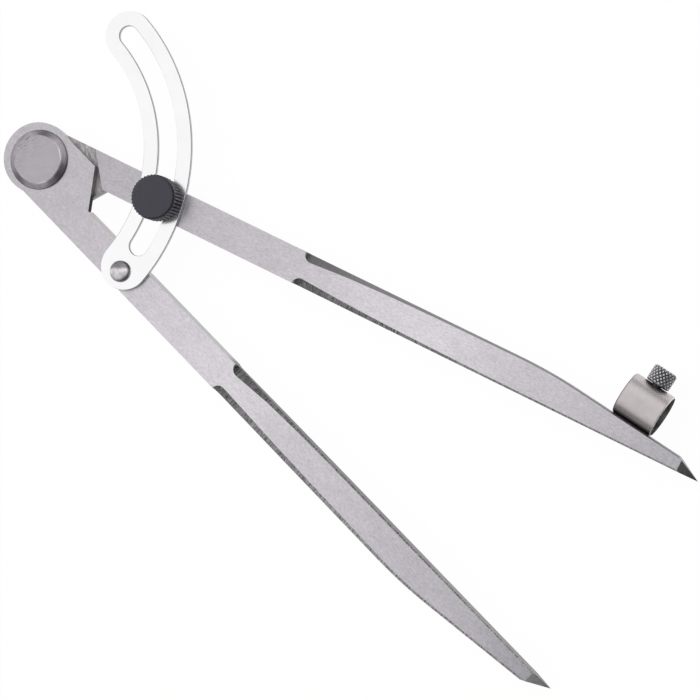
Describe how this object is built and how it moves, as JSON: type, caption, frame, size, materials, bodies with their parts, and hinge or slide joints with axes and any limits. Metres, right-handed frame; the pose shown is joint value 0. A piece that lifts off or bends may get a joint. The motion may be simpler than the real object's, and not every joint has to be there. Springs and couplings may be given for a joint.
{
  "type": "scribing compass",
  "caption": "Steel scribing compass with a half-lap pivot, slotted locking arc, clamp knob and a pencil ring with a thumb screw on one leg.",
  "frame": {"origin": "on the pivot's axis, at the outer face of the rear pivot disc, on which the compass rests", "axes": "+X midway between the legs to their points, +Y to the side of the leg with the pencil ring, +Z along the pivot towards the lock knob"},
  "size_m": [0.2082, 0.0882, 0.0164],
  "materials": {
    "leg_steel": "satin ground",
    "disc_steel": "turned, lightly scratched",
    "arc_steel": "bright polished",
    "dark_steel": "blackened, semi matt",
    "screw_steel": "turned"
  },
  "bodies": {
    "front_side": {"front_leg": "leg_steel", "pivot_pin": "disc_steel", "pivot_washer": "disc_steel", "arc_rivet": "disc_steel"},
    "rear_side": {"rear_leg": "leg_steel", "pencil_ring": "disc_steel"},
    "arc": {"locking_arc": "arc_steel"},
    "stud": {"lock_stud": "screw_steel"},
    "knob": {"lock_knob": "dark_steel"},
    "screw_shank": {"pencil_screw_shank": "screw_steel"},
    "screw_head": {"pencil_screw_head": "screw_steel"}
  },
  "joints": [
    {"name": "leg_open", "type": "hinge", "parent": "front_side", "child": "rear_side", "pos_m": [0, 0, 0.0044], "axis": [0, 0, 1], "range_deg": [-18.97, 80]},
    {"name": "arc_swing", "type": "hinge", "parent": "front_side", "child": "arc", "pos_m": [0.03763, -0.01141, 0.0076], "axis": [0, 0, 1], "range_deg": [-1.55, 6.45]},
    {"name": "stud_lift", "type": "slide", "parent": "rear_side", "child": "stud", "axis": [0, 0, 1], "range_m": [0, 0.0014]},
    {"name": "knob_turn", "type": "hinge", "parent": "stud", "child": "knob", "pos_m": [0.03521, 0.01075, 0.011], "axis": [0, 0, 1], "range_deg": [0, 720]},
    {"name": "screw_feed", "type": "slide", "parent": "rear_side", "child": "screw_shank", "axis": [-0.0373, 0.9993, 0], "range_m": [-0.00015, 0.0011]},
    {"name": "screw_turn", "type": "hinge", "parent": "screw_shank", "child": "screw_head", "pos_m": [0.17457, 0.04137, 0.0044], "axis": [-0.0373, 0.9993, 0], "range_deg": [-108, 792]}
  ],
  "couplings": [
    {"joint": "arc_swing", "follows": "leg_open", "ratio": 0.08},
    {"joint": "knob_turn", "follows": "stud_lift", "rad_per_m": 8976},
    {"joint": "screw_turn", "follows": "screw_feed", "rad_per_m": 12566}
  ]
}
